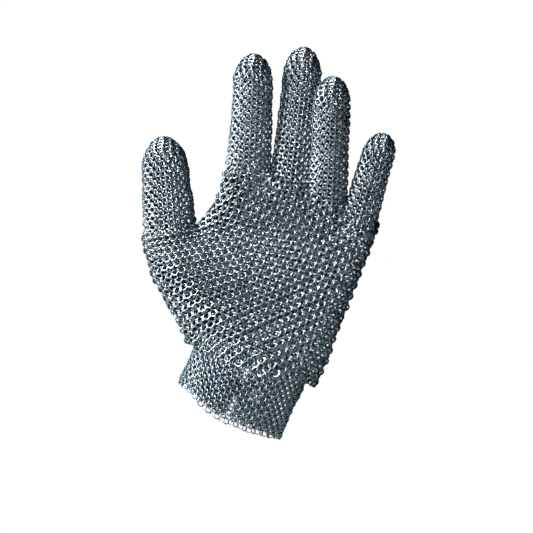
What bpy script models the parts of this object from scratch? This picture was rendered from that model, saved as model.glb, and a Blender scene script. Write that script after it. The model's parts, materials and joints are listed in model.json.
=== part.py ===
"""A ring mesh cut resistant glove, as the panels of linked steel rings it is joined from.

The glove stands in its worn shape. +Z runs along the wrist towards the fingers, the palm faces -Y and the
thumb points to -X. The origin is the centre of the wrist opening. Each finger sleeve has a palm side and a
back side, divided where the mesh folds, and turns on the three folds of its finger. The thumb has two folds,
the wrist has one, and a strap with a press stud closes the cuff behind.
"""
import math

import bpy
from mathutils import Matrix, Vector

MM = 0.001

# The mesh: linked rings make a skin of this thickness, and neighbouring panels keep this gap. Along the sides
# of a sleeve each outer edge stands this far from the middle plane, as the skin's inner edge leans back.
SKIN = 1.4 * MM
GAP = 0.36 * MM
SEAM = 0.45 * MM

# The cuff, a band of mesh round the wrist.
CUFF_CENTRE_X = -2.0 * MM
CUFF_HALF_WIDTH = 34.0 * MM
CUFF_HALF_DEPTH = 24.0 * MM
CUFF_SLIT = 8.0 * MM
HEM_SLOPE = 0.25
WRIST_Z = 27.0 * MM
WRIST_BEND = math.radians(25)

# The hand, between the wrist fold and the level where the fingers part.
WEB_Z = 136.0 * MM
THUMB_OUTER = (-91.2, 74.3)
THUMB_CROTCH = (-63.5, 90.5)
LEFT_EDGE = [(-40, 27), (-57.5, 38), (-74, 51), (-87, 66), THUMB_OUTER, (-77.4, 82.4), THUMB_CROTCH,
             (-60.5, 101), (-60, 117), (-62.6, 135.6)]
RIGHT_EDGE = [(38, 27), (38.5, 41), (38, 54), (37.3, 66), (36.8, 74), (36.4, 82), (36, 91),
              (35.8, 102), (35, 118), (33.2, 135.6)]
PALM_COLUMNS = 18
PALM_ROWS = 18

# The fingers. root is the sleeve's middle at web level, lean its tilt towards the thumb, roll the turn of its
# folds about its own length, curl the rest angle of each fold, and reach the distance from the root to the
# three folds and the fingertip. Angles are in degrees and lengths in millimetres.
FINGERS = {
    "index": {"root": (-50.5, -1.0), "lean": 19.5, "roll": 7, "curl": (6, 9, 8),
              "reach": (6.5, 26, 46, 66.5), "width": (24.0, 22.0), "depth": (20.0, 18.0)},
    "middle": {"root": (-23.9, 2.5), "lean": 17.0, "roll": 6, "curl": (0, 8, 8),
               "reach": (6.5, 31.5, 56, 81.5), "width": (22.6, 21.8), "depth": (19.5, 17.5)},
    "ring": {"root": (0.3, -2.5), "lean": 21.0, "roll": 2, "curl": (17, 8, 7),
             "reach": (6.5, 30, 53, 76.5), "width": (21.0, 20.0), "depth": (18.5, 17.0)},
    "little": {"root": (22.0, -3.0), "lean": 10.0, "roll": -8, "curl": (9, 10, 8),
               "reach": (6.5, 22.5, 37, 51.5), "width": (19.4, 18.4), "depth": (17.5, 16.0)},
}
FINGER_BEND = ((-8, 60), (-8, 65), (-5, 45))

# The thumb, whose folds face across the palm.
THUMB_LEAN = 28.5
THUMB_FACING = 50.0
THUMB_REACH = (3.0, 28.5, 55.5)
THUMB_WIDTH = (29.0, 26.0)
THUMB_DEPTH = (25.0, 21.0)
THUMB_BEND = ((-5, 20), (-5, 50))

# The strap across the slit of the cuff, and its press stud.
STRAP_Z = (5.0 * MM, 20.0 * MM)
STRAP_LIFT = 2.6 * MM
STRAP_HINGE_X = -17.0 * MM
STRAP_END_X = 17.0 * MM
STRAP_RAMP = 0.35
STRAP_STEPS = 14
STUD_X = 10.0 * MM

SLEEVE_SIDES = 10
SLEEVE_RINGS = 3
DOME_RINGS = 4

STEEL = (0.30, 0.37, 0.41)


def clear_scene():
    for thing in list(bpy.data.objects):
        bpy.data.objects.remove(thing)


def hang(thing, empty):
    """Makes a piece turn with an empty, from where it already is."""
    bpy.context.view_layer.update()
    thing.parent = empty
    thing.matrix_parent_inverse = empty.matrix_world.inverted()


def hinge(name, place, axis, parent, collection):
    """An empty on a joint's axis, with its own X along it, which turns with the joint before it."""
    empty = bpy.data.objects.new(name, None)
    empty.empty_display_size = 8 * MM
    empty.rotation_mode = "QUATERNION"
    empty.location = place
    empty.rotation_quaternion = Vector((1, 0, 0)).rotation_difference(axis)
    collection.objects.link(empty)
    if parent:
        hang(empty, parent)
    return empty


def steel(name, colour, roughness):
    material = bpy.data.materials.new(name)
    material.use_nodes = True
    shader = material.node_tree.nodes["Principled BSDF"]
    shader.inputs["Base Color"].default_value = (*colour, 1.0)
    shader.inputs["Metallic"].default_value = 1.0
    shader.inputs["Roughness"].default_value = roughness
    return material


def smoothstep(value, low, high):
    t = min(max((value - low) / (high - low), 0.0), 1.0)
    return t * t * (3.0 - 2.0 * t)


def mix(a, b, t):
    return a + (b - a) * t


def add_mesh(name, points, faces, material, collection):
    mesh = bpy.data.meshes.new(name)
    mesh.from_pydata(points, [], faces)
    mesh.materials.append(material)
    mesh.shade_smooth()
    thing = bpy.data.objects.new(name, mesh)
    collection.objects.link(thing)
    return thing


def skin(name, rows, pole, outward, material, collection):
    """A panel of mesh through rows of points, with an optional pole that closes its last row."""
    points = [point for row in rows for point in row]
    count = len(rows[0])
    faces = []
    for r in range(len(rows) - 1):
        for c in range(count - 1):
            corner = r * count + c
            faces.append((corner, corner + 1, corner + count + 1, corner + count))
    if pole is not None:
        points.append(pole)
        last = (len(rows) - 1) * count
        faces += [(last + c, last + c + 1, len(points) - 1) for c in range(count - 1)]
    first = faces[len(faces) // 2]
    a, b, c = (Vector(points[i]) for i in first[:3])
    if (b - a).cross(c - a).dot(outward((a + b + c) / 3)) < 0:
        faces = [tuple(reversed(face)) for face in faces]
    thing = add_mesh(name, points, faces, material, collection)
    solid = thing.modifiers.new("Skin", "SOLIDIFY")
    solid.thickness = SKIN
    solid.offset = -1.0
    solid.use_even_offset = True
    return thing


class Fold:
    """A fold line of a sleeve: where it is, the axis it turns on and the most it bends each way."""

    def __init__(self, centre, axis, flex, extend):
        self.centre = centre
        self.axis = axis
        self.flex = flex
        self.extend = extend

    def bend(self, palmward):
        """The most that the fold turns towards the side a wall is on."""
        return max(self.flex if palmward > 0 else self.extend, 0.0)

    def room(self, offset, palmward):
        """How far a wall stays from the fold, so that both sides can close on each other."""
        return abs(palmward) * math.tan(self.bend(palmward) / 2.0) + GAP


class RootFold(Fold):
    """The fold at a sleeve's root. The hand's edge is straight, and only the sleeve keeps clear of it."""

    def __init__(self, centre, axis, flex, extend, edge_point, edge_normal, direction):
        super().__init__(centre, axis, flex, extend)
        self.edge_point = edge_point
        self.edge_normal = edge_normal
        self.direction = direction

    def room(self, offset, palmward):
        above = (self.centre + offset - self.edge_point).dot(self.edge_normal) - GAP
        height = above / self.direction.dot(self.edge_normal)
        angle = self.bend(palmward)
        clear = (abs(palmward) * math.sin(angle) - height) / math.cos(angle)
        return max(clear, -height)


def sleeve_half(name, part, side, material, collection):
    """One side of one stretch of a sleeve: an open half tube between two folds, or up to a domed tip."""
    start, direction, length = part["start"], part["direction"], part["length"]
    dome = 0.0 if part["last"] else part["depth"][1] * 0.55
    rows = [sleeve_row(part, side, i / SLEEVE_RINGS, dome, 1.0) for i in range(SLEEVE_RINGS + 1)]
    pole = None
    if not part["last"]:
        for i in range(1, DOME_RINGS):
            angle = i / DOME_RINGS * math.pi / 2
            rows.append(sleeve_row(part, side, 1.0, dome * (1.0 - math.sin(angle)), math.cos(angle)))
        pole = tuple(start + direction * length + part["palmward"] * side * SEAM)
    middle = start + direction * length / 2

    def outward(point):
        away = point - middle
        return away - direction * away.dot(direction)

    return skin(name, rows, pole, outward, material, collection)


def sleeve_row(part, side, t, dome, scale):
    """Points half way round a sleeve, t of the way along it, shrunk by scale within the dome."""
    half_width = mix(part["width"][0], part["width"][1], t) / 2 * scale
    half_depth = mix(part["depth"][0], part["depth"][1], t) / 2 * scale
    row = []
    for i in range(SLEEVE_SIDES + 1):
        angle = math.pi * i / SLEEVE_SIDES
        depth = side * max(half_depth * math.sin(angle), SEAM)
        offset = part["across"] * half_width * math.cos(angle) + part["palmward"] * depth
        bend_side = offset.dot(part["bend_palmward"])
        low = part["first"].room(offset, bend_side)
        high = part["length"] - dome
        if part["last"]:
            high = part["length"] - part["last"].room(offset, bend_side)
        row.append(tuple(part["start"] + offset + part["direction"] * mix(low, high, t)))
    return row


def finger_parts(finger):
    """The three stretches of a finger sleeve, from its root to its tip."""
    lean = math.radians(finger["lean"])
    root = Vector((finger["root"][0], finger["root"][1], 0)) * MM + Vector((0, 0, WEB_Z))
    direction = Vector((-math.sin(lean), 0, math.cos(lean)))
    across = Vector((math.cos(lean), 0, math.sin(lean)))
    across = Matrix.Rotation(math.radians(-finger["roll"]), 3, direction) @ across
    reach = [distance * MM for distance in finger["reach"]]
    curl = [math.radians(angle) for angle in finger["curl"]]
    centre = root
    directions = []
    centres = []
    walked = 0.0
    for bend, distance in zip(curl, reach):
        centre = centre + direction * (distance - walked)
        walked = distance
        centres.append(centre)
        direction = Matrix.Rotation(bend, 3, across) @ direction
        directions.append(direction)
    folds = []
    for number, centre in enumerate(centres):
        low, high = (math.radians(limit) for limit in FINGER_BEND[number])
        if number == 0:
            folds.append(RootFold(centre, across, high, -low, Vector((0, 0, WEB_Z)), Vector((0, 0, 1)),
                                  directions[0]))
        else:
            folds.append(Fold(centre, across, high + curl[number], -low - curl[number]))
    parts = []
    for number in range(3):
        share = [reach[number] / reach[3], reach[number + 1] / reach[3]]
        palmward = across.cross(directions[number])
        parts.append({
            "start": centres[number], "direction": directions[number],
            "length": reach[number + 1] - reach[number],
            "across": across, "palmward": palmward, "bend_palmward": palmward,
            "first": folds[number], "last": folds[number + 1] if number < 2 else None,
            "width": [mix(*finger["width"], s) * MM for s in share],
            "depth": [mix(*finger["depth"], s) * MM for s in share],
        })
    return parts


def thumb_parts():
    """The two stretches of the thumb sleeve."""
    lean = math.radians(THUMB_LEAN)
    facing = math.radians(THUMB_FACING)
    low, high = Vector((*THUMB_OUTER, 0)), Vector((*THUMB_CROTCH, 0))
    middle = (low + high) / 2 * MM
    root = Vector((middle.x, 0, middle.y))
    direction = Vector((-math.sin(lean), 0, math.cos(lean)))
    across = Vector((math.cos(lean), 0, math.sin(lean)))
    palmward = across.cross(direction)
    bend_palmward = (across * math.cos(facing) + palmward * math.sin(facing)).normalized()
    axis = direction.cross(bend_palmward)
    reach = [distance * MM for distance in THUMB_REACH]
    base_low, base_high = (math.radians(limit) for limit in THUMB_BEND[0])
    tip_low, tip_high = (math.radians(limit) for limit in THUMB_BEND[1])
    opening = Vector((high.x - low.x, 0, high.y - low.y)).normalized()
    square = Vector((-opening.z, 0, opening.x))
    folds = [RootFold(root + direction * reach[0], axis, base_high, -base_low, root, square, direction),
             Fold(root + direction * reach[1], axis, tip_high, -tip_low)]
    parts = []
    for number in range(2):
        share = [reach[number] / reach[2], reach[number + 1] / reach[2]]
        parts.append({
            "start": folds[number].centre, "direction": direction,
            "length": reach[number + 1] - reach[number],
            "across": across, "palmward": palmward, "bend_palmward": bend_palmward,
            "first": folds[number], "last": folds[1] if number == 0 else None,
            "width": [mix(*THUMB_WIDTH, s) * MM for s in share],
            "depth": [mix(*THUMB_DEPTH, s) * MM for s in share],
        })
    return parts


def along(edge, t):
    """A point part of the way along an edge's list of points, by their numbers."""
    place = t * (len(edge) - 1)
    number = min(int(place), len(edge) - 2)
    a, b = edge[number], edge[number + 1]
    return mix(a[0], b[0], place - number) * MM, mix(a[1], b[1], place - number) * MM


def distance_to(edge, x, z):
    """The distance in the plane of the palm from a point to an edge."""
    best = 1.0
    for (ax, az), (bx, bz) in zip(edge, edge[1:]):
        ax, az, bx, bz = ax * MM, az * MM, bx * MM, bz * MM
        t = ((x - ax) * (bx - ax) + (z - az) * (bz - az)) / ((bx - ax) ** 2 + (bz - az) ** 2)
        t = min(max(t, 0.0), 1.0)
        best = min(best, math.hypot(x - mix(ax, bx, t), z - mix(az, bz, t)))
    return best


def finger_hollow(x):
    """Half the depth of the sleeves at web level: a round bay for each finger and a shallow web between."""
    depth = SKIN + 2 * GAP
    for finger in FINGERS.values():
        half_width = finger["width"][0] * MM / 2 / math.cos(math.radians(finger["lean"]))
        reach = (x - finger["root"][0] * MM) / half_width
        if abs(reach) < 1.0:
            depth = max(depth, finger["depth"][0] * MM / 2 * math.sqrt(1.0 - reach * reach))
    return depth


def hand_depth(x, z, side):
    """How far the hand's skin stands from its middle plane, on the palm side (-1) or the back (+1)."""
    edge = min(distance_to(LEFT_EDGE[:5], x, z), distance_to(LEFT_EDGE[6:], x, z),
               distance_to(RIGHT_EDGE, x, z))
    rise = smoothstep(z, WRIST_Z, 80 * MM)
    rounding = mix(CUFF_HALF_WIDTH, 17 * MM, rise)
    rounding = mix(rounding, 11 * MM, smoothstep(z, 90 * MM, WEB_Z))
    middle = mix(CUFF_HALF_DEPTH, 15.5 * MM if side < 0 else 14.5 * MM, rise)
    level = smoothstep(z, 100 * MM, WEB_Z)
    middle = mix(middle, 11 * MM, level)
    reach = min(edge / rounding, 1.0)
    depth = middle * math.sqrt(1.0 - (1.0 - reach) ** 2)
    return max(mix(depth, min(depth, finger_hollow(x)), smoothstep(z, 120 * MM, WEB_Z)), 2 * GAP)


def hand_panel(name, side, material, collection):
    """The palm side or the back of the hand, from the wrist fold to the roots of the sleeves."""
    rows = []
    for r in range(PALM_ROWS + 1):
        left_x, left_z = along(LEFT_EDGE, r / PALM_ROWS)
        right_x, right_z = along(RIGHT_EDGE, r / PALM_ROWS)
        row = []
        for c in range(PALM_COLUMNS + 1):
            t = (1.0 - math.cos(math.pi * c / PALM_COLUMNS)) / 2
            x, z = mix(left_x, right_x, t), mix(left_z, right_z, t)
            depth = hand_depth(x, z, side)
            fade = 1.0 - smoothstep(z, WRIST_Z, 60 * MM)
            z += (depth * math.tan(WRIST_BEND / 2) + GAP) * fade
            row.append((x, depth * side, z))
        rows.append(row)
    return skin(name, rows, None, lambda point: Vector((0, side, 0)), material, collection)


def cuff_point(angle, t, lift=0.0):
    """A point of the cuff: angle 0 is the little finger's side, a quarter turn is the back."""
    x = CUFF_CENTRE_X + (CUFF_HALF_WIDTH + lift) * math.cos(angle)
    y = (CUFF_HALF_DEPTH + lift) * math.sin(angle)
    low = HEM_SLOPE * y
    high = WRIST_Z - abs(y) * math.tan(WRIST_BEND / 2) - GAP
    return (x, y, mix(low, high, t))


def cuff_panel(name, start, end, material, collection):
    """A panel of the cuff between two angles round the wrist, in degrees."""
    steps = max(round((end - start) / 12), 3)
    rows = []
    for t in (0.0, 0.5, 1.0):
        angles = [math.radians(mix(start, end, i / steps)) for i in range(steps + 1)]
        rows.append([cuff_point(angle, t) for angle in angles])
    centre = Vector((CUFF_CENTRE_X, 0, 0))

    def outward(point):
        away = point - centre
        return Vector((away.x, away.y, 0))

    return skin(name, rows, None, outward, material, collection)


def back_angle(x, lift):
    """The angle round the cuff's back at which its skin, raised by lift, has this X."""
    return math.acos((x - CUFF_CENTRE_X) / (CUFF_HALF_WIDTH + lift))


def strap_point(t):
    """A point on the strap's outside, t of the way from its hinge on the cuff to its free end."""
    x = mix(STRAP_HINGE_X, STRAP_END_X, t)
    lift = mix(GAP, STRAP_LIFT, smoothstep(t, 0.0, STRAP_RAMP)) + SKIN
    return cuff_point(back_angle(x, lift), 0.0, lift)


def strap_hinge():
    """A point on the strap's hinge line, in the middle of its skin."""
    x, y, _ = cuff_point(back_angle(STRAP_HINGE_X, 0.0), 0.0, GAP + SKIN / 2)
    return Vector((x, y, sum(STRAP_Z) / 2))


def strap(material, collection):
    """The flap that crosses the slit, raised over the cuff's back where the press stud is."""
    rows = []
    for z in STRAP_Z:
        points = [strap_point(i / STRAP_STEPS) for i in range(STRAP_STEPS + 1)]
        rows.append([(x, y, z) for x, y, _ in points])
    return skin("closure_strap", rows, None, lambda point: Vector((0, 1, 0)), material, collection)


def stud_frame(height):
    """The matrix of a turned piece of the press stud, square to the cuff's back at this height over it."""
    angle = back_angle(STUD_X, 0.0)
    x, y, _ = cuff_point(angle, 0.0)
    normal = Vector((math.cos(angle) / CUFF_HALF_WIDTH, math.sin(angle) / CUFF_HALF_DEPTH, 0)).normalized()
    across = Vector((0, 0, 1)).cross(normal)
    turn = Matrix((across, Vector((0, 0, 1)), normal)).transposed().to_4x4()
    return Matrix.Translation(Vector((x, y, sum(STRAP_Z) / 2)) + normal * height) @ turn


def turned(name, profile, height, material, collection):
    """A turned piece of the press stud, from a closed profile of radius and height in millimetres."""
    count = len(profile)
    points = [(radius * MM, 0.0, level * MM) for radius, level in profile]
    edges = [(i, (i + 1) % count) for i in range(count)]
    if profile[0][0] == 0.0:
        edges = edges[:-1]
    mesh = bpy.data.meshes.new(name)
    mesh.from_pydata(points, edges, [])
    mesh.materials.append(material)
    thing = bpy.data.objects.new(name, mesh)
    thing.matrix_world = stud_frame(height)
    collection.objects.link(thing)
    screw = thing.modifiers.new("Turn", "SCREW")
    screw.steps = 24
    screw.render_steps = 24
    screw.use_merge_vertices = True
    screw.merge_threshold = 0.00005
    return thing


def press_stud(flap, material, collection):
    """The two halves of the press stud: cap and socket on the strap, stud and post on the cuff."""
    over = STRAP_LIFT + SKIN
    cap = [(0, 1.9), (2.6, 1.7), (4.6, 1.1), (5.6, GAP / MM + 0.1), (5.2, GAP / MM), (0, GAP / MM)]
    hang(turned("snap_cap", cap, over, material, collection), flap)
    socket = [(4.6, -GAP / MM), (4.6, -1.6), (3.5, -1.9), (3.0, -1.6), (3.0, -GAP / MM)]
    hang(turned("snap_socket", socket, STRAP_LIFT, material, collection), flap)
    stud = [(0, 2.0), (1.9, 1.9), (2.4, 1.5), (2.0, 1.0), (2.0, 0.7), (4.2, 0.6), (4.4, GAP / MM), (0, GAP / MM)]
    turned("snap_stud", stud, 0.0, material, collection)
    post = [(0, -GAP / MM), (4.4, -GAP / MM), (4.4, -0.8), (3.6, -1.2), (0, -1.3)]
    turned("snap_post", post, -SKIN, material, collection)


def sleeve(name, places, parts, hand, material, collection):
    """All the stretches of one sleeve, each turning on a fold at its root."""
    parent = hand
    for place, part in zip(places, parts):
        fold = part["first"]
        parent = hinge(f"{name}_{place}_fold", fold.centre, fold.axis, parent, collection)
        hang(sleeve_half(f"{name}_{place}_palm_side", part, 1, material, collection), parent)
        hang(sleeve_half(f"{name}_{place}_back_side", part, -1, material, collection), parent)


def cuff(material, collection):
    """The cuff's front panel and its two back panels either side of the slit."""
    seam = math.degrees(GAP / CUFF_HALF_DEPTH)
    slit = math.degrees(CUFF_SLIT / CUFF_HALF_WIDTH / 2)
    cuff_panel("cuff_front_panel", 180 + seam, 360 - seam, material, collection)
    cuff_panel("cuff_back_little_side", seam, 90 - slit, material, collection)
    cuff_panel("cuff_back_thumb_side", 90 + slit, 180 - seam, material, collection)


def build_glove():
    clear_scene()
    glove = bpy.data.collections.new("cut_resistant_glove")
    bpy.context.scene.collection.children.link(glove)
    ring_mesh = steel("ring_mesh", STEEL, 0.38)
    cuff_mesh = steel("cuff_mesh", STEEL, 0.42)
    stud_steel = steel("stud_steel", (0.55, 0.56, 0.57), 0.25)

    wrist = hinge("wrist", Vector((0, 0, WRIST_Z)), Vector((1, 0, 0)), None, glove)
    hang(hand_panel("palm_panel", -1, ring_mesh, glove), wrist)
    hang(hand_panel("back_panel", 1, ring_mesh, glove), wrist)
    for finger, values in FINGERS.items():
        sleeve(finger, ("base", "middle", "tip"), finger_parts(values), wrist, ring_mesh, glove)
    sleeve("thumb", ("base", "tip"), thumb_parts(), wrist, ring_mesh, glove)

    cuff(cuff_mesh, glove)
    flap = hinge("strap_flap", strap_hinge(), Vector((0, 0, 1)), None, glove)
    hang(strap(cuff_mesh, glove), flap)
    press_stud(flap, stud_steel, glove)


build_glove()
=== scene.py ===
"""Stainless ring mesh glove: wire rings laid in rows over the CAD frame's panels, sleeves, cuff and strap."""

import json
import math

import bpy
import numpy as np
from mathutils import Matrix, Vector
from mathutils.bvhtree import BVHTree


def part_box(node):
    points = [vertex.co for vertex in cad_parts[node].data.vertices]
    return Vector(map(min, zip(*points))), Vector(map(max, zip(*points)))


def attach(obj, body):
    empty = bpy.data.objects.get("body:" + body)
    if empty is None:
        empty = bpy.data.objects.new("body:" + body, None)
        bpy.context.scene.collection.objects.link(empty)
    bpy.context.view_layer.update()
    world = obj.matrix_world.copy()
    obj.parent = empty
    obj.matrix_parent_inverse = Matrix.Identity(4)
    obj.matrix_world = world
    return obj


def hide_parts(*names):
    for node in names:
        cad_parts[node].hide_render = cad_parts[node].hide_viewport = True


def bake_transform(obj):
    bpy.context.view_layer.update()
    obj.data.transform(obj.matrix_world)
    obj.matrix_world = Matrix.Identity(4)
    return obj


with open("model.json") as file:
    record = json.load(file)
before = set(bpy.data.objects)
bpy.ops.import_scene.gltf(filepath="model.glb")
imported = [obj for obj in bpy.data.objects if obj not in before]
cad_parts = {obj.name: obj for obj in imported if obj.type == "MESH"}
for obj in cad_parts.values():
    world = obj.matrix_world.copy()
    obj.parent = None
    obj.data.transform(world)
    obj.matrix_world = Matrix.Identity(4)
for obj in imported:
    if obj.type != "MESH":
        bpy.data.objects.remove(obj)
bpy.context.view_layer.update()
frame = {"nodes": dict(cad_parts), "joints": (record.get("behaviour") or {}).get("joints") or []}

MM = 0.001
JOINTS = {joint["name"]: joint for joint in frame["joints"]}

# One wire ring
RING_RADIUS = 2.05 * MM
WIRE_RADIUS = 0.40 * MM
RING_SIDES = 18
WIRE_SIDES = 6
WELD_SWELL = 0.16
RING_LEAN = math.radians(33)
TURN_SPREAD = math.radians(1.6)
PLACE_SPREAD = 0.04 * MM

# How far apart the rings lie, across the hand and along it, and the size of each panel's rings
PALM_ACROSS, PALM_ALONG, PALM_RING = 3.5 * MM, 3.4 * MM, 1.0
BACK_ACROSS, BACK_ALONG, BACK_RING = 2.25 * MM, 2.2 * MM, 0.86
CUFF_ACROSS, CUFF_ALONG, CUFF_RING = 2.5 * MM, 2.5 * MM, 0.88
SLEEVE_ACROSS, SLEEVE_ALONG, SLEEVE_RING = 2.45 * MM, 2.55 * MM, 0.86

# Rows that close a fingertip: full while this share of the girth is left, then fewer rings, to the fewest
FULL_ROW = 0.8
ROW_SPARE = 0.06
FEWEST = 4

# How much closer a tube's rings lie over its back, and how much heavier all back wire is than palm wire
BACK_CROWDING = 0.06
BACK_WIRE = 1.4

# The rings' middle surface lies this far inside the CAD's outer face
INSET = 0.7 * MM

# The hand's hem and side seam, and how far sleeves and cuff go on under the hand's mesh
HEM_DROP = 3.0 * MM
HEM_CUT = 7.0 * MM
SEAM_SHARE = 0.3
ROW_SLANT = 0.16
WEB_LAP = 3.0 * MM
THUMB_LAP = 4.0 * MM
CUFF_LAP = 11.0 * MM

# The camera looks along +Y with its top turned to the left, so that the hand stands leaning to the right
AIM = Vector((-0.0164, 0.0, 0.0854))
CAMERA_TURN = math.atan2(0.4067, 0.9135)
CAMERA_DISTANCE = 1.2
VIEW_WIDTH = 0.314


def unit(vectors):
    """Vectors scaled to length one."""
    return vectors / np.maximum(np.linalg.norm(vectors, axis=-1, keepdims=True), 1e-12)


def node_points(*names):
    """The vertices of some CAD nodes, in metres."""
    arrays = []
    for name in names:
        mesh = frame["nodes"][name].data
        coordinates = np.empty(len(mesh.vertices) * 3)
        mesh.vertices.foreach_get("co", coordinates)
        arrays.append(coordinates.reshape(-1, 3))
    return np.concatenate(arrays)


def node_tree(*names):
    """A search tree of the faces of some CAD nodes."""
    points, faces = [], []
    for name in names:
        mesh = frame["nodes"][name].data
        start = len(points)
        points += [vertex.co.copy() for vertex in mesh.vertices]
        faces += [[start + index for index in polygon.vertices] for polygon in mesh.polygons]
    return BVHTree.FromPolygons(points, faces)


def waves(a, b, seed):
    """Smooth, irregular waves over two lengths given in wavelengths, about -1 to 1."""
    random = np.random.default_rng(seed)
    total = np.zeros(np.broadcast(a, b).shape)
    for _ in range(5):
        turn, phase, rate = random.uniform(0, 2 * math.pi, 2).tolist() + [random.uniform(0.6, 1.5)]
        total = total + np.sin(2 * math.pi * rate * (a * math.cos(turn) + b * math.sin(turn)) + phase)
    return total / 3


def crowded(share):
    """Shares of the way round a tube, closer together over its back, which is the first half."""
    return share - BACK_CROWDING * (1 - np.cos(2 * math.pi * share)) / 2


def smoothstep(value, low, high):
    """0 below low, 1 above high, smooth between."""
    t = np.clip((value - low) / (high - low), 0, 1)
    return t * t * (3 - 2 * t)


# ---------------------------------------------------------------- rings


def ring_template():
    """One ring about +Z: the middle of its wire, the wire's surface from there with the small swelling of its
    weld at +X, its faces, and how near each point is to the weld."""
    around = np.arange(RING_SIDES) * 2 * math.pi / RING_SIDES
    wire = np.arange(WIRE_SIDES) * 2 * math.pi / WIRE_SIDES
    away = np.minimum(around, 2 * math.pi - around)
    weld = np.exp(-((away / 0.28) ** 2))
    thick = WIRE_RADIUS * (1 + WELD_SWELL * weld)
    circle = np.stack([np.cos(around), np.sin(around), np.zeros(RING_SIDES)], axis=-1)
    middle = np.repeat(RING_RADIUS * circle, WIRE_SIDES, axis=0)
    out = (thick[:, None] * np.cos(wire)[None, :])[..., None] * circle[:, None, :]
    up = (thick[:, None] * np.sin(wire)[None, :])[..., None] * np.array([0.0, 0.0, 1.0])
    i, j = np.meshgrid(np.arange(RING_SIDES), np.arange(WIRE_SIDES), indexing="ij")
    next_i, next_j = (i + 1) % RING_SIDES, (j + 1) % WIRE_SIDES
    faces = np.stack([i * WIRE_SIDES + j, next_i * WIRE_SIDES + j, next_i * WIRE_SIDES + next_j,
                      i * WIRE_SIDES + next_j], axis=-1).reshape(-1, 4)
    return middle, (out + up).reshape(-1, 3), faces, np.repeat(weld, WIRE_SIDES)


RING_MIDDLE, RING_WIRE, RING_FACES, RING_WELD = ring_template()


def weave(place, rows, columns, seed):
    """Rings at every crossing of a grid, leaning one way and the other by turns, so that most link with their
    four neighbours. place(row, column) gives points on the sheet."""
    random = np.random.default_rng(seed)
    row, column = (grid.ravel() for grid in np.meshgrid(rows, columns, indexing="ij"))
    centre = place(row, column)
    across = unit(place(row, column + 0.5) - place(row, column - 0.5))
    along = unit(place(row + 0.5, column) - place(row - 0.5, column))
    outward = unit(np.cross(across, along))
    diagonal = unit(across + along)
    diagonal = unit(diagonal - outward * np.sum(diagonal * outward, axis=-1, keepdims=True))
    side = np.where((np.round(row).astype(int) + np.round(column).astype(int)) % 2 == 0, 1.0, -1.0)
    lean = (side * RING_LEAN + random.normal(0, TURN_SPREAD, len(row)))[:, None]
    roll = random.normal(0, TURN_SPREAD, len(row))[:, None]
    normal = unit(np.cos(lean) * outward + np.sin(lean) * diagonal + np.sin(roll) * across)
    for direction in (outward, across, along):
        centre = centre + direction * random.normal(0, PLACE_SPREAD, (len(row), 1))
    return {"row": row, "column": column, "centre": centre, "normal": normal, "outward": outward}


def chosen(rings, mask):
    """Only the rings that the mask keeps."""
    return {key: value[mask] for key, value in rings.items()}


def add_attribute(mesh, name, values):
    """A number at every point of a mesh, for its material."""
    attribute = mesh.attributes.new(name, "FLOAT", "POINT")
    attribute.data.foreach_set("value", values.astype(np.float32))


def ring_piece(name, rings, scale, material, nodes, seed):
    """One mesh of whole wire rings, each with its own tone, standing for its CAD nodes."""
    random = np.random.default_rng(seed)
    count = len(rings["centre"])
    normal = rings["normal"]
    side = unit(np.cross(normal, unit(random.normal(0, 1, (count, 3)))))
    other = np.cross(normal, side)
    facing = -rings["outward"][:, 1]
    wire = BACK_WIRE + (1 - BACK_WIRE) * smoothstep(facing, -0.5, 0.5)
    size = scale * random.normal(1, 0.01, (count, 1, 1))
    ring = (RING_MIDDLE[None] + RING_WIRE[None] * wire[:, None, None]) * size
    turned = np.stack([side, other, normal], axis=1)
    points = ring @ turned + rings["centre"][:, None, :]
    faces = RING_FACES[None] + (np.arange(count) * len(RING_MIDDLE))[:, None, None]
    mesh = bpy.data.meshes.new(name)
    mesh.vertices.add(count * len(RING_MIDDLE))
    mesh.vertices.foreach_set("co", points.reshape(-1).astype(np.float32))
    mesh.loops.add(faces.size)
    mesh.loops.foreach_set("vertex_index", faces.reshape(-1).astype(np.int32))
    mesh.polygons.add(count * len(RING_FACES))
    mesh.polygons.foreach_set("loop_start", (np.arange(count * len(RING_FACES)) * 4).astype(np.int32))
    mesh.polygons.foreach_set("use_smooth", np.ones(count * len(RING_FACES), bool))
    mesh.update(calc_edges=True)
    add_attribute(mesh, "tone", np.repeat(random.random(count), len(RING_MIDDLE)))
    # This value is partly wear and partly painted shade: it falls from 1 on rings facing the palm to 0 on the
    # sides and back, which the material paints darker
    add_attribute(mesh, "polish_and_shade", np.repeat(smoothstep(facing, -0.2, 0.9), len(RING_MIDDLE)))
    add_attribute(mesh, "weld", np.tile(RING_WELD, count))
    mesh.materials.append(material)
    piece = bpy.data.objects.new(name, mesh)
    bpy.context.scene.collection.objects.link(piece)
    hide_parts(*nodes)
    return piece


# ---------------------------------------------------------------- surfaces measured on the CAD nodes


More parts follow.
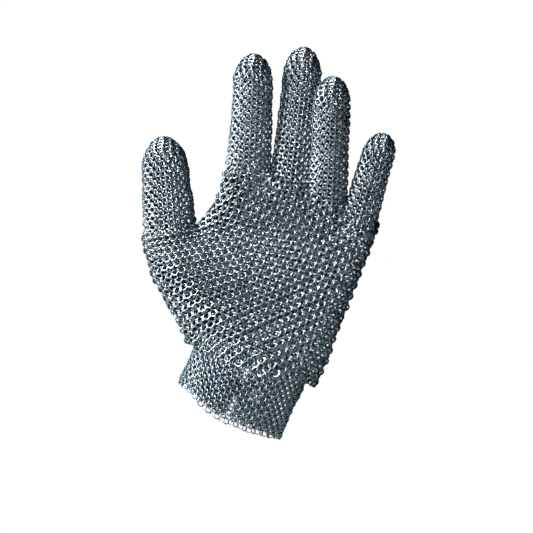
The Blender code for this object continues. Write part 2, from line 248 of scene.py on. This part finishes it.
class HandSheet:
    """The palm's or the back's surface: heights by distance round from the little finger's side."""

    LEVEL_STEP = 1.5 * MM
    ARC_STEP = 0.5 * MM
    CASTS = 150
    HEM_RISE = 7.5 * MM
    BUNCH_HEIGHT = 0.75 * MM
    BUNCH_SPACING = 6.1 * MM
    BACK_BUNCH = 0.4
    SWELL_HEIGHT = 0.45 * MM
    MOST_LIFT = 0.9 * MM

    def __init__(self, palmward):
        self.side = -1 if palmward else 1
        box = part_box("palm_panel")
        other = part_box("back_panel")
        self.low = box[0].z + 0.4 * MM
        self.high = box[1].z - 0.8 * MM
        self.tree = node_tree("palm_panel", "back_panel")
        self.points = node_points("palm_panel", "back_panel")
        self.mid_y = (min(box[0].y, other[0].y) + max(box[1].y, other[1].y)) / 2
        self.levels = np.arange(self.low, self.high, self.LEVEL_STEP)
        self.steady = np.searchsorted(self.levels, self.high - 18 * MM)
        rays = [self.cast_level(level) for level in self.levels]
        self.resample(rays)

    def span(self, level):
        """The panel's left and right ends at a height."""
        near = self.points[np.abs(self.points[:, 2] - level) < 5 * MM]
        return near[:, 0].min(), near[:, 0].max()

    def cast_level(self, level):
        """Points of the outer face at one height, their outward directions and whether the face is there."""
        left, right = self.span(level)
        centre, half = (left + right) / 2, (right - left) / 2
        turns = np.linspace(0, math.pi, self.CASTS)
        points, outwards, found = [], [], []
        for turn in turns:
            target = Vector((centre + math.cos(turn) * max(half - 12 * MM, 0), self.mid_y, level))
            start = Vector((centre + math.cos(turn) * (half + 20 * MM),
                            self.mid_y + self.side * math.sin(turn) * 45 * MM, level))
            direction = (target - start).normalized()
            hit = self.cast(start, direction, (target - start).length)
            points.append(hit + direction * INSET if hit else target)
            outwards.append(-direction)
            found.append(hit is not None)
        return np.array(points), np.array(outwards), np.array(found)

    def cast(self, start, direction, reach):
        """The near face along a ray; close to the hem, where the CAD edge rises, the face just above."""
        rises = int(self.HEM_RISE / self.LEVEL_STEP) if start.z < self.low + self.HEM_RISE else 0
        for rise in range(rises + 1):
            hit = self.tree.ray_cast(start + Vector((0, 0, rise * self.LEVEL_STEP)), direction, reach)[0]
            if hit:
                return hit
        return None

    def resample(self, rays):
        """Every level at even distances round; the top ones keep the spread of a lower one."""
        steady_points = rays[self.steady][0]
        self.arcs = np.arange(0, 180 * MM, self.ARC_STEP)
        shape = (len(self.levels), len(self.arcs))
        self.point = np.zeros(shape + (3,))
        self.outward = np.zeros(shape + (3,))
        self.there = np.zeros(shape)
        for number, (points, outwards, found) in enumerate(rays):
            source = steady_points if number > self.steady else points
            steps = np.linalg.norm(np.diff(source, axis=0), axis=1)
            arc = np.concatenate([[0], np.cumsum(steps)])
            for axis in range(3):
                self.point[number, :, axis] = np.interp(self.arcs, arc, points[:, axis])
                self.outward[number, :, axis] = np.interp(self.arcs, arc, outwards[:, axis])
            self.there[number] = np.interp(self.arcs, arc, found.astype(float)) * (self.arcs < arc[-1])
        kernel = np.ones(5) / 5
        for number in range(len(self.arcs)):
            for axis in range(2):
                line = np.pad(self.point[:, number, axis], 2, mode="edge")
                self.point[:, number, axis] = np.convolve(line, kernel, mode="valid")

    def look_up(self, table, arc, level):
        """A table's values at distances and heights between its samples."""
        column = np.clip(arc / self.ARC_STEP, 0, len(self.arcs) - 1.001)
        row = np.clip((level - self.low) / self.LEVEL_STEP, 0, len(self.levels) - 1.001)
        c, r = column.astype(int), row.astype(int)
        fc, fr = column - c, row - r
        if table.ndim == 3:
            fc, fr = fc[:, None], fr[:, None]
        lower = table[r, c] * (1 - fc) + table[r, c + 1] * fc
        upper = table[r + 1, c] * (1 - fc) + table[r + 1, c + 1] * fc
        return lower * (1 - fr) + upper * fr

    def at(self, arc, level):
        """Points on the sheet with its bunching and unevenness."""
        arc = np.abs(arc)
        point = self.look_up(self.point, arc, level)
        point[:, 2] = level
        outward = unit(self.look_up(self.outward, arc, level))
        near_web = smoothstep(level, self.high - 26 * MM, self.high - 4 * MM)
        wander = 2 * waves(arc / (40 * MM), level / (60 * MM), 3)
        bunch = near_web * np.sin(2 * math.pi * arc / self.BUNCH_SPACING + wander)
        lift = self.BUNCH_HEIGHT * bunch * (1 if self.side < 0 else self.BACK_BUNCH)
        lift = lift + self.SWELL_HEIGHT * waves(arc / (17 * MM), level / (21 * MM), 5 + self.side)
        return point + outward * np.minimum(lift, self.MOST_LIFT)[:, None]

    def covered(self, arc, level):
        """Which points have the panel's outer face under them."""
        return (self.look_up(self.there, np.abs(arc), level) > 0.98) & (level < self.high)


class Sleeve:
    """A finger's or the thumb's tube round a smooth centre line through its folds."""

    STEP = 0.5 * MM
    TIP_STRETCH = 1.65
    ROOT_WIDTH = 1.05
    CORNER_SAMPLES = 21
    PUFF = 0.030
    PLEAT_DEPTH = 0.045
    PLEATS = 7

    def __init__(self, name, folds, bodies, axis, root_lap):
        self.name = name
        self.bodies = bodies
        self.folds = [np.array(JOINTS[fold]["pos_m"]) for fold in folds]
        nodes = [node_points(f"{body}_palm_side", f"{body}_back_side") for body in bodies]
        self.tip = self.find_tip(nodes[-1])
        root_direction = unit(self.folds[1] - self.folds[0])
        root = self.folds[0] - root_direction * root_lap
        self.knots = np.array([root, *self.folds, self.tip])
        self.line, self.arc = self.centre_line()
        self.axis = self.across_axis(axis, root_direction)
        nearest = [np.argmin(np.linalg.norm(self.line - knot, axis=1)) for knot in self.knots]
        self.knot_arc = [self.arc[number] for number in nearest]
        self.knot_arc[-1] = self.arc[-1]
        self.half = self.measure(nodes)
        self.dome = self.half[-1][0] * self.TIP_STRETCH
        self.body = self.arc[-1] - self.dome
        self.quarter = math.pi / 2 * math.sqrt((self.dome ** 2 + self.half[-1][0] ** 2) / 2)

    def find_tip(self, points):
        """The far end of the last stretch, less what its leaning rings stand proud."""
        direction = unit(points.mean(axis=0) - self.folds[-1])
        reach = ((points - self.folds[-1]) @ direction).max()
        proud = RING_RADIUS * SLEEVE_RING * math.sin(RING_LEAN)
        return self.folds[-1] + direction * (reach - INSET - proud)

    def centre_line(self):
        """The line through the folds with its corners rounded."""
        lengths = np.linalg.norm(np.diff(self.knots, axis=0), axis=1)
        ends = np.concatenate([[0], np.cumsum(lengths)])
        arc = np.arange(0, ends[-1], self.STEP)
        line = np.stack([np.interp(arc, ends, self.knots[:, axis]) for axis in range(3)], axis=-1)
        beyond = self.CORNER_SAMPLES // 2
        before = line[0] - (line[1] - line[0]) * np.arange(beyond, 0, -1)[:, None]
        after = line[-1] + (line[-1] - line[-2]) * np.arange(1, beyond + 1)[:, None]
        long_line = np.concatenate([before, line, after])
        kernel = np.ones(self.CORNER_SAMPLES) / self.CORNER_SAMPLES
        smooth = [np.convolve(long_line[:, axis], kernel, mode="valid") for axis in range(3)]
        line = np.stack(smooth, axis=-1)
        steps = np.linalg.norm(np.diff(line, axis=0), axis=1)
        return line, np.concatenate([[0], np.cumsum(steps)])

    def across_axis(self, axis, direction):
        """The direction across the sleeve: its folds' own axis, or square to it in the hand's plane."""
        if axis is not None:
            return unit(np.array(axis))
        return unit(np.cross([0.0, 1.0, 0.0], direction))

    def measure(self, nodes):
        """Half the width and depth at every knot, from the CAD stretches, a little wider at the root."""
        halves = []
        for number, points in enumerate(nodes):
            start = self.folds[number]
            end = self.folds[number + 1] if number + 1 < len(self.folds) else self.tip
            along = unit(end - start)
            back = unit(np.cross(along, self.axis))
            offset = points - start
            across = unit(self.axis - along * (self.axis @ along))
            halves.append((np.abs(offset @ across).max() - INSET, np.abs(offset @ back).max() - INSET))
        last = (halves[-1][0] * 0.97, halves[-1][1] * 0.95)
        first = (halves[0][0] * self.ROOT_WIDTH, halves[0][1])
        return [first, first, *halves[1:], last]

    def at_arc(self, table, arc):
        """A table along the centre line, at some distances."""
        values = [np.interp(arc, self.arc, table[:, axis]) for axis in range(table.shape[1])]
        return np.stack(values, axis=-1)

    def over(self, distance):
        """How far round the tip's dome a distance has come, as an angle up to a quarter turn."""
        return np.clip((distance - self.body) / self.quarter, 0, 1) * math.pi / 2

    def at(self, distance, turn):
        """Points on the sleeve: distance along its surface from the root, and turn round it in radians."""
        over = self.over(distance)
        arc = np.where(distance > self.body, self.body + self.dome * np.sin(over), np.maximum(distance, 0))
        shrink = np.cos(over)
        centre = self.at_arc(self.line, arc)
        centre = centre + np.minimum(distance, 0)[:, None] * unit(self.line[1] - self.line[0])
        tangent = unit(self.at_arc(np.gradient(self.line, axis=0), arc))
        across = unit(self.axis - tangent * (tangent @ self.axis)[:, None])
        back = np.cross(tangent, across)
        half_width = np.interp(arc, self.knot_arc, [half[0] for half in self.half])
        half_depth = np.interp(arc, self.knot_arc, [half[1] for half in self.half])
        seed = sum(map(ord, self.name))
        puff = 1 + self.PUFF * waves(arc / (13 * MM), turn / 2.6, seed)
        pleat = np.exp(-(arc / (13 * MM)) ** 2) * np.sin(turn * self.PLEATS + seed)
        puff = np.minimum(puff + self.PLEAT_DEPTH * pleat, 1.05) * shrink
        return (centre + across * (half_width * np.cos(turn) * puff)[:, None]
                + back * (half_depth * np.sin(turn) * puff)[:, None])

    def around(self, columns, count):
        """Turns at equal distances round the section."""
        table = np.linspace(0, 2 * math.pi, 241)
        width, depth = self.half[1]
        steps = np.hypot(np.diff(width * np.cos(table)), np.diff(depth * np.sin(table)))
        length = np.concatenate([[0], np.cumsum(steps)])
        share = crowded(columns / count)
        whole = np.floor(share)
        return np.interp((share - whole) * length[-1], length, table) + whole * 2 * math.pi

    def girth(self):
        """The length round the sleeve at its root."""
        width, depth = self.half[1]
        return math.pi * (width + depth)

    def length(self):
        """The length of the surface from the root to the tip."""
        return self.body + self.quarter


# ---------------------------------------------------------------- mesh pieces


def hand_rings(palmward, across, along):
    """The rings of the palm or the back, from the hem, higher at the little finger's side, to the webs."""
    sheet = HandSheet(palmward)
    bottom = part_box("palm_panel")[0].z - HEM_DROP
    top = sheet.high

    def arc_level(row, column):
        level = bottom + row * along
        arc = (column + SEAM_SHARE) * across
        height = (level - bottom) / (top - bottom)
        slant = ROW_SLANT * smoothstep(height, 0.25, 0.9) * smoothstep(arc, 15 * MM, 90 * MM)
        return arc, level - slant * arc

    def place(row, column):
        arc, level = arc_level(row, column)
        return sheet.at(arc, level)

    rows = np.arange(0, 70)
    columns = np.arange(0, 64)
    rings = weave(place, rows, columns, 11 if palmward else 12)
    arc, level = arc_level(rings["row"], rings["column"])
    hem = bottom + HEM_CUT * smoothstep(rings["centre"][:, 0], -10 * MM, 30 * MM)
    rings = chosen(rings, sheet.covered(arc, level) & (level > hem))
    if palmward:
        rings["normal"] = -rings["normal"]
        rings["outward"] = -rings["outward"]
    return rings


def hand_pieces(material):
    """Palm and back mesh, each in strips of about the same number of rings from the thumb's side."""
    sides = (("palm", PALM_ACROSS, PALM_ALONG, PALM_RING, 2), ("back", BACK_ACROSS, BACK_ALONG, BACK_RING, 5))
    for side, across, along, scale, strips in sides:
        rings = hand_rings(side == "palm", across, along)
        x = rings["centre"][:, 0]
        edges = np.quantile(x, np.linspace(0, 1, strips + 1))
        edges[-1] += MM
        for number in range(strips):
            mask = (x >= edges[number]) & (x < edges[number + 1])
            piece = ring_piece(f"{side}_mesh_{number + 1}", chosen(rings, mask), scale, material,
                               [f"{side}_panel"], 21 + 10 * number + len(side))
            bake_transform(piece)


def sleeve_rings(sleeve, seed):
    """The rings of one sleeve, row by row, with fewer in the rows that close the tip."""
    full = 2 * round(sleeve.girth() / SLEEVE_ACROSS / 2)
    rows = []
    for number in range(int(sleeve.length() / SLEEVE_ALONG) + 1):
        share = math.cos(sleeve.over(number * SLEEVE_ALONG))
        count = full if share > FULL_ROW else max(2 * round(full * (share + ROW_SPARE) / 2), FEWEST)
        rows.append(weave(lambda row, column: sleeve.at(row * SLEEVE_ALONG, sleeve.around(column, count)),
                          np.array([number]), np.arange(0, count), seed + number))
    rings = {key: np.concatenate([row[key] for row in rows]) for key in rows[0]}
    rings["distance"] = rings["row"] * SLEEVE_ALONG
    return rings


def sleeve_pieces(sleeve, material, seed):
    """One piece of mesh for each fold, reaching from the middle of one stretch to the middle of the next."""
    rings = sleeve_rings(sleeve, seed)
    fold_arc = sleeve.knot_arc[1:-1]
    cuts = [-1.0]
    for number in range(len(fold_arc) - 1):
        cuts.append((fold_arc[number] + fold_arc[number + 1]) / 2)
    cuts.append(1.0)
    for number, body in enumerate(sleeve.bodies):
        mask = (rings["distance"] >= cuts[number]) & (rings["distance"] < cuts[number + 1])
        piece = ring_piece(f"{sleeve.name}_mesh_{number + 1}", chosen(rings, mask), SLEEVE_RING, material,
                           [f"{body}_palm_side", f"{body}_back_side"], seed + 40 + number)
        tangent = unit(sleeve.at_arc(np.gradient(sleeve.line, axis=0), np.array([fold_arc[number]])))[0]
        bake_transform(piece)


def finger_sleeves(material):
    """The four fingers."""
    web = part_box("palm_panel")[1].z
    for number, name in enumerate(("index", "middle", "ring", "little")):
        folds = [f"{name}_{part}_fold" for part in ("base", "middle", "tip")]
        bodies = [f"{name}_{part}" for part in ("base", "middle", "tip")]
        axis = JOINTS[folds[0]]["axis"]
        lap = JOINTS[folds[0]]["pos_m"][2] - web + WEB_LAP
        sleeve_pieces(Sleeve(name, folds, bodies, axis, lap), material, 100 + 20 * number)


def thumb_sleeve(material):
    """The thumb."""
    folds = ["thumb_base_fold", "thumb_tip_fold"]
    bodies = ["thumb_base", "thumb_tip"]
    sleeve_pieces(Sleeve("thumb", folds, bodies, None, THUMB_LAP), material, 200)


class CuffTube:
    """The cuff's oval tube, from its sloping lower edge up under the hand's hem."""

    THUMB_RISE = 6.0 * MM
    FRONT_BOW = 2.5 * MM
    SLOPE_KEPT = 0.1
    SLIT_LAP = 1.5 * MM
    ROWS = 19

    def __init__(self):
        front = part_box("cuff_front_panel")
        backs = [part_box("cuff_back_little_side"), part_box("cuff_back_thumb_side")]
        self.left = min(front[0].x, backs[0][0].x, backs[1][0].x)
        self.right = max(front[1].x, backs[0][1].x, backs[1][1].x)
        self.front = front[0].y
        self.back = max(box[1].y for box in backs)
        rise = max(box[0].z for box in backs) - front[0].z
        self.slope = self.SLOPE_KEPT * rise / (self.back - self.front)
        self.front_low = front[0].z
        self.centre = ((self.left + self.right) / 2, (self.front + self.back) / 2)
        self.half = ((self.right - self.left) / 2 - INSET, (self.back - self.front) / 2 - INSET)
        self.slit = (backs[0][0].x - backs[1][1].x) / 2
        self.top = front[1].z + CUFF_LAP

    def girth(self):
        """The length round the tube."""
        return 2 * math.pi * math.sqrt((self.half[0] ** 2 + self.half[1] ** 2) / 2)

    def turns(self, share):
        """Turns at equal distances round the oval, from the little finger's side towards the back."""
        table = np.linspace(0, 2 * math.pi, 361)
        steps = np.hypot(np.diff(self.half[0] * np.cos(table)), np.diff(self.half[1] * np.sin(table)))
        length = np.concatenate([[0], np.cumsum(steps)])
        share = crowded(share)
        whole = np.floor(share)
        return np.interp((share - whole) * length[-1], length, table) + whole * 2 * math.pi

    def at(self, share, height):
        """Points on the tube: share of the way round, height above its lower edge, which bows down in front and
        behind and rises towards the thumb's side."""
        turn = self.turns(share)
        droop = 1 + 0.02 * waves(share * 5, height / (25 * MM), 9)
        x = self.centre[0] + self.half[0] * np.cos(turn) * droop
        y = self.centre[1] + self.half[1] * np.sin(turn) * np.minimum(droop, 1.01)
        scallop = 0.6 * MM * np.abs(np.sin(share * math.pi * 13)) * np.exp(-height / (12 * MM))
        bow = self.THUMB_RISE * smoothstep(-np.cos(turn), 0.1, 1.0) - self.FRONT_BOW * np.sin(turn) ** 2
        z = self.front_low + (y - self.front) * self.slope + INSET + RING_RADIUS + height + scallop
        return np.stack([x, y, z + bow], axis=-1)


def cuff_pieces(tube, material):
    """The cuff's mesh in two pieces, open at the slit in the back."""
    count = 2 * round(tube.girth() / CUFF_ACROSS / 2)
    rings = weave(lambda row, column: tube.at(column / count, row * CUFF_ALONG), np.arange(0, tube.ROWS),
                  np.arange(0, count), 301)
    x, y, z = rings["centre"].T
    in_slit = (np.abs(x - tube.centre[0]) < tube.slit - tube.SLIT_LAP) & (y > tube.centre[1])
    rings = chosen(rings, (z < tube.top) & ~in_slit)
    front = rings["centre"][:, 1] < tube.centre[1]
    nodes = {"front": ["cuff_front_panel"], "back": ["cuff_back_little_side", "cuff_back_thumb_side"]}
    for name, mask in (("front", front), ("back", ~front)):
        piece = ring_piece(f"cuff_mesh_{name}", chosen(rings, mask), CUFF_RING, material,
                           nodes[name], 310 + len(name))
        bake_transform(piece)


def strap_piece(tube, material):
    """The closure strap's tab of mesh over the slit, one ring deep."""
    low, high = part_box("closure_strap")
    points = node_points("closure_strap")
    tree = node_tree("closure_strap")

    def place(row, column):
        x = high.x - INSET - RING_RADIUS - column * CUFF_ACROSS
        z = low.z + INSET + RING_RADIUS + row * CUFF_ALONG
        y = []
        for one_x, one_z in zip(x, z):
            hit = tree.ray_cast(Vector((one_x, high.y + 20 * MM, one_z)), Vector((0, -1, 0)))[0]
            y.append(hit.y - INSET if hit else points[:, 1].max() - INSET)
        return np.stack([x, np.array(y), z], axis=-1)

    wide = int((high.x - low.x - 2 * (INSET + RING_RADIUS)) / CUFF_ACROSS) + 1
    tall = int((high.z - low.z - 2 * (INSET + RING_RADIUS)) / CUFF_ALONG) + 1
    rings = weave(place, np.arange(0, tall), np.arange(0, wide), 401)
    piece = ring_piece("strap_mesh", rings, CUFF_RING, material, ["closure_strap"], 402)
    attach(piece, "strap")


# ---------------------------------------------------------------- materials


class Nodes:
    """A short way to add and join shader nodes."""

    def __init__(self, name):
        self.material = bpy.data.materials.new(name)
        self.material.use_nodes = True
        self.tree = self.material.node_tree
        self.shader = self.tree.nodes["Principled BSDF"]

    def add(self, kind, inputs=None, **settings):
        """A node with its settings and its inputs, which are values or other nodes' outputs."""
        node = self.tree.nodes.new(kind)
        for key, value in settings.items():
            setattr(node, key, value)
        for key, value in (inputs or {}).items():
            self.join(value, node.inputs[key])
        return node

    def join(self, value, socket):
        """Sets a socket, or links it when the value is another node's output."""
        if isinstance(value, bpy.types.NodeSocket):
            self.tree.links.new(value, socket)
        else:
            socket.default_value = value

    def ramp(self, factor, stops):
        """A colour ramp with these stops."""
        node = self.add("ShaderNodeValToRGB", {"Fac": factor})
        elements = node.color_ramp.elements
        while len(elements) < len(stops):
            elements.new(0.5)
        for element, (position, colour) in zip(elements, stops):
            element.position = position
            element.color = (*colour, 1)
        return node.outputs["Color"]

    def noise(self, scale, detail, roughness=0.55):
        """A noise over the object's own coordinates, in metres."""
        place = self.add("ShaderNodeTexCoord").outputs["Object"]
        node = self.add("ShaderNodeTexNoise", {"Vector": place, "Scale": scale, "Detail": detail,
                                               "Roughness": roughness})
        return node.outputs["Fac"]

    def attribute(self, name):
        """A number stored on the mesh."""
        return self.add("ShaderNodeAttribute", attribute_name=name).outputs["Fac"]

    def mix_values(self, a, b, share):
        """Two numbers mixed by a share."""
        return self.add("ShaderNodeMix", {0: share, 2: a, 3: b}).outputs[0]

    def mix_colours(self, a, b, share):
        """Two colours mixed by a share."""
        return self.add("ShaderNodeMix", {0: share, 6: a, 7: b}, data_type="RGBA").outputs[2]


WELD_TINT = (0.20, 0.18, 0.15, 1)
WELD_ROUGHNESS = 0.6


def ring_steel(name, dull_and_shade, worn):
    """Welded stainless wire, darker on the back and less so on the sides: partly duller steel and partly
    painted shade standing in for the glove's shaded back and dark inside; polished by gripping on the palm
    side. Every ring has its own tone, and there are drawn marks, patches of tarnish and a tinted weld."""
    nodes = Nodes(name)
    tone = nodes.attribute("tone")
    polish_and_shade = nodes.attribute("polish_and_shade")
    weld = nodes.attribute("weld")
    mottle = nodes.mix_values(tone, nodes.noise(90, 3), 0.5)
    colours = []
    for light in (dull_and_shade, worn):
        dark = tuple(0.62 * c for c in light)
        bright = tuple(min(1.22 * c, 1) for c in light)
        colours.append(nodes.ramp(mottle, [(0.2, dark), (0.5, light), (0.8, bright)]))
    # Rings facing away from the palm take the first, dark colour: darker steel plus painted shade
    colour = nodes.mix_colours(*colours, polish_and_shade)
    nodes.join(nodes.mix_colours(colour, WELD_TINT, weld), nodes.shader.inputs["Base Color"])
    wear = nodes.noise(1400, 4)
    satin = nodes.add("ShaderNodeMapRange", {"Value": wear, "To Min": 0.42, "To Max": 0.60}).outputs[0]
    shiny = nodes.add("ShaderNodeMapRange", {"Value": wear, "To Min": 0.28, "To Max": 0.44}).outputs[0]
    rough = nodes.mix_values(satin, shiny, polish_and_shade)
    nodes.join(nodes.mix_values(rough, WELD_ROUGHNESS, weld), nodes.shader.inputs["Roughness"])
    nodes.shader.inputs["Metallic"].default_value = 1.0
    bump = nodes.add("ShaderNodeBump", {"Height": wear, "Strength": 0.25, "Distance": 0.03 * MM})
    nodes.join(bump.outputs[0], nodes.shader.inputs["Normal"])
    return nodes.material


def stud_steel(name, colour):
    """Pressed steel with faint turning marks and small dents."""
    nodes = Nodes(name)
    scratches = nodes.noise(900, 5, 0.7)
    stain = nodes.noise(160, 3)
    base = nodes.ramp(stain, [(0.3, tuple(c * 0.82 for c in colour)), (0.7, colour)])
    nodes.join(base, nodes.shader.inputs["Base Color"])
    rough = nodes.add("ShaderNodeMapRange", {"Value": scratches, "To Min": 0.12, "To Max": 0.34})
    nodes.join(rough.outputs[0], nodes.shader.inputs["Roughness"])
    nodes.shader.inputs["Metallic"].default_value = 1.0
    bump = nodes.add("ShaderNodeBump", {"Height": scratches, "Strength": 0.2, "Distance": 0.04 * MM})
    nodes.join(bump.outputs[0], nodes.shader.inputs["Normal"])
    return nodes.material


def stud_pieces():
    """The press stud keeps its CAD shape and takes a finer finish."""
    material = stud_steel("stud_steel_polished", (0.62, 0.63, 0.64))
    for name in ("snap_cap", "snap_socket", "snap_stud", "snap_post"):
        node = frame["nodes"][name]
        node.data.materials.clear()
        node.data.materials.append(material)


# ---------------------------------------------------------------- stage


def floor():
    """A plain pale floor well below the glove."""
    half = 0.45
    level = -0.26
    corners = [(x * half, y * half, level) for x, y in ((-1, -1), (1, -1), (1, 1), (-1, 1))]
    mesh = bpy.data.meshes.new("floor")
    mesh.from_pydata(corners, [], [(0, 1, 2, 3)])
    nodes = Nodes("pale_floor")
    nodes.shader.inputs["Roughness"].default_value = 0.9
    shade = nodes.ramp(nodes.noise(6, 2), [(0.3, (0.80, 0.80, 0.80)), (0.7, (0.84, 0.84, 0.84))])
    nodes.join(shade, nodes.shader.inputs["Base Color"])
    mesh.materials.append(nodes.material)
    piece = bpy.data.objects.new("floor", mesh)
    bpy.context.scene.collection.objects.link(piece)


def seen_from(right, up, near):
    """A point right of, above and nearer than the aim as the camera sees it, in metres."""
    turned = Matrix.Rotation(-CAMERA_TURN, 3, "Y")
    return AIM + turned @ Vector((right, -near, up))


def area_light(name, place, target, size, power, colour):
    """A soft square light aimed at a point."""
    light = bpy.data.lights.new(name, "AREA")
    light.shape = "SQUARE"
    light.size = size
    light.energy = power
    light.color = colour
    lamp = bpy.data.objects.new(name, light)
    lamp.location = place
    lamp.rotation_euler = (Vector(target) - Vector(place)).to_track_quat("-Z", "Y").to_euler()
    bpy.context.scene.collection.objects.link(lamp)


def studio():
    """A white surround, seen by the steel as a dim blue-grey room, with soft lights from the left."""
    bpy.context.scene.view_settings.view_transform = "Standard"
    world = bpy.data.worlds.new("studio")
    bpy.context.scene.world = world
    world.use_nodes = True
    tree = world.node_tree
    room = tree.nodes["Background"]
    direction = tree.nodes.new("ShaderNodeTexCoord").outputs["Generated"]
    towards = tree.nodes.new("ShaderNodeVectorMath")
    towards.operation = "DOT_PRODUCT"
    towards.inputs[1].default_value = (seen_from(-0.85, 0.45, 0.5) - AIM).normalized()
    tree.links.new(direction, towards.inputs[0])
    shade = tree.nodes.new("ShaderNodeMapRange")
    shade.inputs["From Min"].default_value = -0.7
    shade.inputs["From Max"].default_value = 1.0
    tree.links.new(towards.outputs["Value"], shade.inputs["Value"])
    ramp = tree.nodes.new("ShaderNodeValToRGB")
    ramp.color_ramp.elements[0].color = (0.004, 0.014, 0.018, 1)
    ramp.color_ramp.elements[1].color = (0.42, 0.47, 0.50, 1)
    ramp.color_ramp.elements.new(0.6).color = (0.012, 0.042, 0.054, 1)
    tree.links.new(shade.outputs[0], ramp.inputs["Fac"])
    tree.links.new(ramp.outputs["Color"], room.inputs["Color"])
    backdrop = tree.nodes.new("ShaderNodeBackground")
    backdrop.inputs["Color"].default_value = (1, 1, 1, 1)
    rays = tree.nodes.new("ShaderNodeLightPath")
    mix = tree.nodes.new("ShaderNodeMixShader")
    tree.links.new(rays.outputs["Is Camera Ray"], mix.inputs[0])
    tree.links.new(room.outputs[0], mix.inputs[1])
    tree.links.new(backdrop.outputs[0], mix.inputs[2])
    tree.links.new(mix.outputs[0], tree.nodes["World Output"].inputs["Surface"])
    area_light("key", seen_from(-0.95, 0.45, 0.55), AIM, 0.35, 46, (1.0, 0.96, 0.965))
    area_light("fill", seen_from(-0.45, 0.50, 1.15), AIM, 0.30, 1.2, (0.92, 0.97, 1.0))
    area_light("back", seen_from(-0.50, 0.60, -0.90), AIM, 0.60, 20, (0.97, 0.98, 1.0))


def camera():
    """The camera, square to the palm, with its top turned to the left."""
    data = bpy.data.cameras.new("camera")
    data.sensor_width = 36
    data.lens = 36 * CAMERA_DISTANCE / VIEW_WIDTH
    data.clip_start = 0.05
    item = bpy.data.objects.new("camera", data)
    look = Matrix(((1, 0, 0), (0, 0, -1), (0, 1, 0))).to_4x4()
    turn = Matrix.Rotation(-CAMERA_TURN, 4, "Y")
    item.matrix_world = Matrix.Translation(AIM + Vector((0, -CAMERA_DISTANCE, 0))) @ turn @ look
    bpy.context.scene.collection.objects.link(item)
    bpy.context.scene.camera = item


def main():
    """Builds every piece, the stage and the lights."""
    # The first colour of each steel, for rings facing away from the palm, is partly painted shade
    ring_mesh = ring_steel("ring_mesh_steel", (0.06, 0.105, 0.122), (0.35, 0.415, 0.47))
    cuff_mesh = ring_steel("cuff_mesh_steel", (0.058, 0.10, 0.118), (0.28, 0.355, 0.41))
    hand_pieces(ring_mesh)
    finger_sleeves(ring_mesh)
    thumb_sleeve(ring_mesh)
    tube = CuffTube()
    cuff_pieces(tube, cuff_mesh)
    strap_piece(tube, cuff_mesh)
    stud_pieces()
    floor()
    studio()
    camera()


main()
